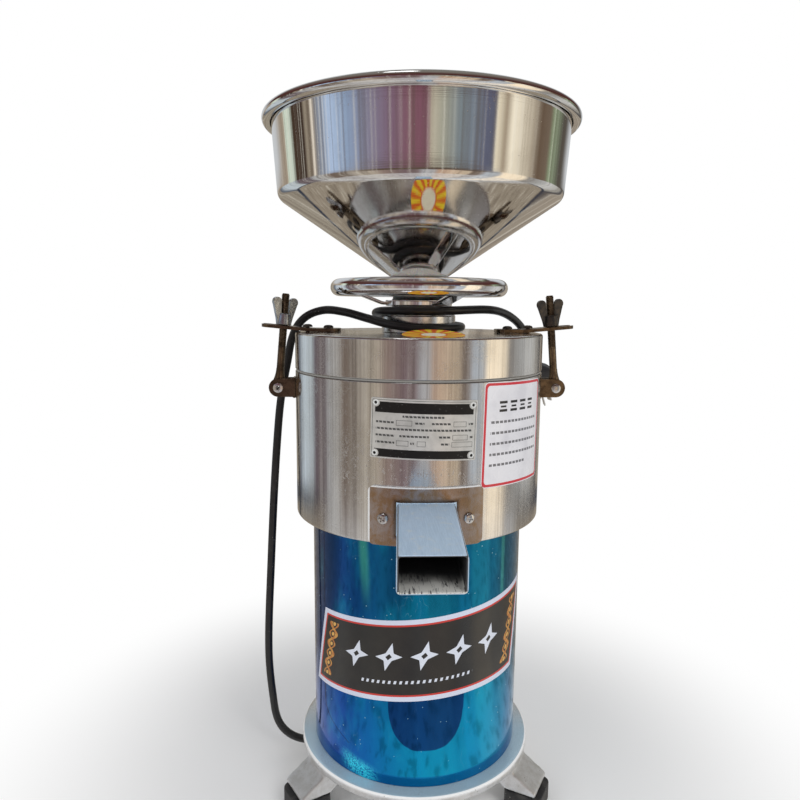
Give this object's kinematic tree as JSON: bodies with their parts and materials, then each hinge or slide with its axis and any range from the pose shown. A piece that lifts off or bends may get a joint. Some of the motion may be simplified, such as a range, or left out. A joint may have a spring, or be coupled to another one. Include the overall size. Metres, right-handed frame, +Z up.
{
  "type": "soy milk grinder",
  "caption": "Upright electric soy milk grinder: feed hopper, handwheel-set millstones in a clamped separating pot, milk spout, residue chute and a motor on three legs.",
  "frame": {"origin": "on the floor, midway between the spout's tip and the chute's tip, on the shaft's axis", "axes": "+Z up the shaft, -Y the way the milk spout points, +X to the right seen from the spout"},
  "size_m": [0.3155, 0.455, 0.65],
  "materials": {
    "cast_aluminium": "rough cast, light grey",
    "polished_aluminium": "turned and polished",
    "blue_film": "blue protective film on metal, glossy",
    "mirror_steel": "mirror-polished stainless steel",
    "brushed_steel": "brushed stainless steel",
    "chrome_plate": "bright chrome plate",
    "zinc_plate": "zinc plate",
    "browned_steel": "stainless steel browned by heat",
    "dark_steel": "blackened steel",
    "black_rubber": "matt black",
    "pale_rubber": "off-white, matt",
    "black_plastic": "matt black",
    "red_plastic": "glossy red",
    "white_nylon": "milky white nylon",
    "grey_stone": "bonded abrasive",
    "copper_wire": "enamelled copper wire",
    "core_steel": "laminated core steel",
    "plate_silver": "satin silver with black bars"
  },
  "bodies": {
    "stand": {"base_casting": "cast_aluminium", "foot_pad_1": "black_rubber", "foot_pad_2": "black_rubber", "foot_pad_3": "black_rubber", "motor_casing": "blue_film", "upper_end_shield": "cast_aluminium", "lower_end_shield": "cast_aluminium", "upper_bearing": "brushed_steel", "lower_bearing": "brushed_steel", "tie_bolt_1": "zinc_plate", "tie_bolt_2": "zinc_plate", "tie_bolt_3": "zinc_plate", "stator_core": "core_steel", "stator_winding": "copper_wire", "run_capacitor": "black_plastic", "pot_body": "polished_aluminium", "shaft_seal": "black_rubber", "separator_ring": "brushed_steel", "milk_spout": "brushed_steel", "residue_chute": "brushed_steel", "spout_screw_left": "zinc_plate", "spout_screw_right": "zinc_plate", "chute_screw_left": "zinc_plate", "chute_screw_right": "zinc_plate", "data_plate": "plate_silver", "lid_gasket": "pale_rubber", "lid": "polished_aluminium", "lid_bush": "brushed_steel", "clamp_bracket_left": "browned_steel", "clamp_bracket_right": "browned_steel", "pivot_pin_left": "brushed_steel", "pivot_pin_right": "brushed_steel", "clamp_lug_left": "browned_steel", "clamp_lug_right": "browned_steel", "lug_screw_left_inner": "zinc_plate", "lug_screw_left_outer": "zinc_plate", "lug_screw_right_inner": "zinc_plate", "lug_screw_right_outer": "zinc_plate", "switch_housing": "black_plastic", "cord_gland": "black_rubber", "power_cord": "black_rubber", "power_plug": "black_rubber"},
    "rotor": {"motor_shaft": "brushed_steel", "rotor_core": "core_steel", "cooling_fan": "black_plastic", "stone_seat": "cast_aluminium", "lower_stone": "grey_stone", "filter_basket": "brushed_steel", "stone_nut": "zinc_plate"},
    "feed_carrier": {"feed_collar": "white_nylon"},
    "handwheel_set": {"feed_sleeve": "dark_steel", "upper_stone": "grey_stone", "handwheel": "chrome_plate"},
    "hopper_set": {"hopper": "mirror_steel"},
    "clamp_left": {"swing_bolt_left": "browned_steel"},
    "clamp_right": {"swing_bolt_right": "browned_steel"},
    "nut_left": {"wing_nut_left": "zinc_plate"},
    "nut_right": {"wing_nut_right": "dark_steel"},
    "switch_key": {"switch_rocker": "red_plastic"}
  },
  "joints": [
    {"name": "rotor_spin", "type": "hinge", "parent": "stand", "child": "rotor", "pos_m": [0, 0, 0.2], "axis": [0, 0, 1], "continuous": true},
    {"name": "stone_gap", "type": "slide", "parent": "stand", "child": "feed_carrier", "axis": [0, 0, 1], "range_m": [0, 0.006]},
    {"name": "handwheel_turn", "type": "hinge", "parent": "feed_carrier", "child": "handwheel_set", "pos_m": [0, 0, 0.497], "axis": [0, 0, 1], "range_deg": [0, 720]},
    {"name": "hopper_lift", "type": "slide", "parent": "feed_carrier", "child": "hopper_set", "axis": [0, 0, 1], "range_m": [0, 0.06]},
    {"name": "clamp_swing_left", "type": "hinge", "parent": "stand", "child": "clamp_left", "pos_m": [-0.1355, 0, 0.401], "axis": [0, -1, 0], "range_deg": [0, 45]},
    {"name": "clamp_swing_right", "type": "hinge", "parent": "stand", "child": "clamp_right", "pos_m": [0.1355, 0, 0.401], "axis": [0, 1, 0], "range_deg": [0, 45]},
    {"name": "nut_travel_left", "type": "slide", "parent": "clamp_left", "child": "nut_left", "axis": [0.0906, 0, 0.9959], "range_m": [0, 0.0195]},
    {"name": "nut_travel_right", "type": "slide", "parent": "clamp_right", "child": "nut_right", "axis": [-0.0906, 0, 0.9959], "range_m": [0, 0.0195]},
    {"name": "power_switch", "type": "hinge", "parent": "stand", "child": "switch_key", "pos_m": [0.06397, 0.08187, 0.098], "axis": [0.788, -0.6157, 0], "range_deg": [0, 20]}
  ],
  "couplings": [
    {"joint": "stone_gap", "follows": "handwheel_turn", "m_per_rad": 0.000477},
    {"joint": "nut_travel_left", "follows": "clamp_swing_left", "m_per_rad": 0.0245},
    {"joint": "nut_travel_right", "follows": "clamp_swing_right", "m_per_rad": 0.0245}
  ]
}
